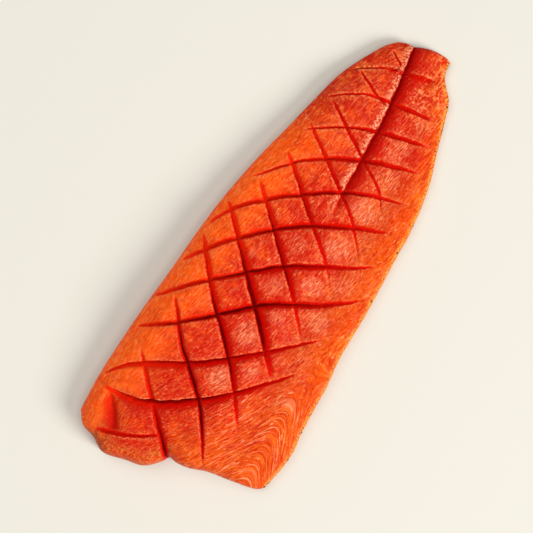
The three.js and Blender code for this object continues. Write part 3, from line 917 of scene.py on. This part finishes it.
def makeSkinMaterial():
    # Salmon skin, scaled and dried by the smoke: silver with scale pockets, darker along the back,
    # and a pale fatty edge with a few dark specks of pigment where it shows.
    material, tree, surface = newMaterial("scaledSalmonSkin", {"Roughness": 0.38})
    place = addNode(tree, "ShaderNodeTexCoord", output="Object")
    fromEdge = addNode(tree, "ShaderNodeAttribute", output="Fac", attribute_name="fromEdge")
    back = addNode(tree, "ShaderNodeAttribute", output="Fac", attribute_name="back")
    pockets = addNode(tree, "ShaderNodeTexVoronoi",
                      {"Vector": place, "Scale": perMetre(skin["scale"]), "Randomness": 0.45})
    darker = addNode(tree, "ShaderNodeMapRange", [back, 0.45, 0.9, 0, 0.85])
    rimmed = addNode(tree, "ShaderNodeMapRange", [pockets, 0.3, 0.65, 0, 0.45])
    fatReach = skin["fatReach"]
    fatty = addNode(tree, "ShaderNodeMapRange", [fromEdge, 0.5 * fatReach, fatReach, 1, 0])
    specks = addNode(tree, "ShaderNodeTexVoronoi", {"Vector": place, "Scale": perMetre(skin["speckGap"])},
                     voronoi_dimensions="2D")
    dark = addNode(tree, "ShaderNodeMapRange", [specks, 0.08, 0.12, 0.9, 0])
    colour = linear(skin["silver"])
    for name, share in (("back", darker), ("back", rimmed), ("fat", fatty), ("speck", dark)):
        colour = addNode(tree, "ShaderNodeMix", {0: share, 6: colour, 7: linear(skin[name])}, output=2,
                         data_type="RGBA")
    tree.links.new(colour, surface.inputs["Base Color"])
    bump = addNode(tree, "ShaderNodeBump", {"Height": pockets, "Strength": 0.5, "Distance": 0.3 * mm})
    tree.links.new(bump, surface.inputs["Normal"])
    return material


print("skin: laying it under the flesh")
skinPiece = makeSkin()
skinPiece.data.materials.append(makeSkinMaterial())
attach(skinPiece, "root")
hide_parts("skin")


# The studio: a plain cream floor under soft light, seen from straight above.
studio = {
    "floorSize": 12,               # metres, as are the picture's width, the aim and the softboxes' distance
    "floorColour": "#d0ccc1",
    "fill": 0.23,                  # even light from all round
    "roll": 32,                    # degrees that the picture's right side is turned from +X to +Y
    "lens": 100,
    "sensor": 36,
    "pictureWidth": 0.4264,
    "aim": (-0.0153, -0.0116, 0.01),
    "softboxAway": 5,
    # Each softbox: where it stands to the picture's right and up, its height as an angle in
    # degrees, how wide it looks in degrees, the light it gives the floor and whether it shows as gloss.
    "softboxes": {
        "keySoftbox": {
            "right": 0.83, "up": -0.56, "elevation": 31, "wide": 24, "gives": 0.55, "gloss": False},
        "glossSoftbox": {
            "right": 0.85, "up": -0.53, "elevation": 66, "wide": 26, "gives": 0.18, "gloss": True},
        "overheadSoftbox": {
            "right": -0.85, "up": 0.53, "elevation": 63, "wide": 60, "gives": 0.46, "gloss": False},
    },
}


def inPicture(right, up):
    # A direction given along the picture's own right and up.
    roll = math.radians(studio["roll"])
    across = right * math.cos(roll) - up * math.sin(roll)
    return Vector((across, right * math.sin(roll) + up * math.cos(roll), 0))


def makeStudio():
    mesh = bmesh.new()
    bmesh.ops.create_grid(mesh, x_segments=1, y_segments=1, size=studio["floorSize"] / 2)
    floor = newObject("floor", mesh)
    card = {"Base Color": linear(studio["floorColour"]), "Roughness": 0.95, "Specular IOR Level": 0.05}
    floor.data.materials.append(newMaterial("mattCreamCard", card)[0])

    world = bpy.data.worlds.new("evenFill")
    world.use_nodes = True
    world.node_tree.nodes["Background"].inputs["Color"].default_value = (1, 1, 1, 1)
    world.node_tree.nodes["Background"].inputs["Strength"].default_value = studio["fill"]
    world.cycles_visibility.glossy = False        # so that gloss comes from the softboxes alone
    bpy.context.scene.world = world

    away = studio["softboxAway"]
    for name, box in studio["softboxes"].items():
        elevation, halfWide = math.radians(box["elevation"]), math.radians(box["wide"] / 2)
        light = bpy.data.lights.new(name, "AREA")
        light.shape = "DISK"
        light.size = 2 * away * math.tan(halfWide)
        light.energy = box["gives"] * (math.pi * away / math.cos(halfWide)) ** 2 / math.sin(elevation)
        lamp = bpy.data.objects.new(name, light)
        lamp.location = inPicture(box["right"], box["up"]) * math.cos(elevation) * away
        lamp.location.z = math.sin(elevation) * away
        lamp.rotation_euler = (-lamp.location).to_track_quat("-Z", "Y").to_euler()
        lamp.visible_glossy = box["gloss"]
        bpy.context.scene.collection.objects.link(lamp)

    camera = bpy.data.cameras.new("camera")
    camera.lens = studio["lens"]
    camera.sensor_width = studio["sensor"]
    camera.clip_end = 20
    eye = bpy.data.objects.new("camera", camera)
    eye.location = Vector(studio["aim"])
    eye.location.z += studio["pictureWidth"] * studio["lens"] / studio["sensor"]
    eye.rotation_euler = (0, 0, math.radians(studio["roll"]))
    bpy.context.scene.collection.objects.link(eye)
    bpy.context.scene.camera = eye
    bpy.context.scene.view_settings.view_transform = "Standard"


print("studio: floor, softboxes and camera")
makeStudio()
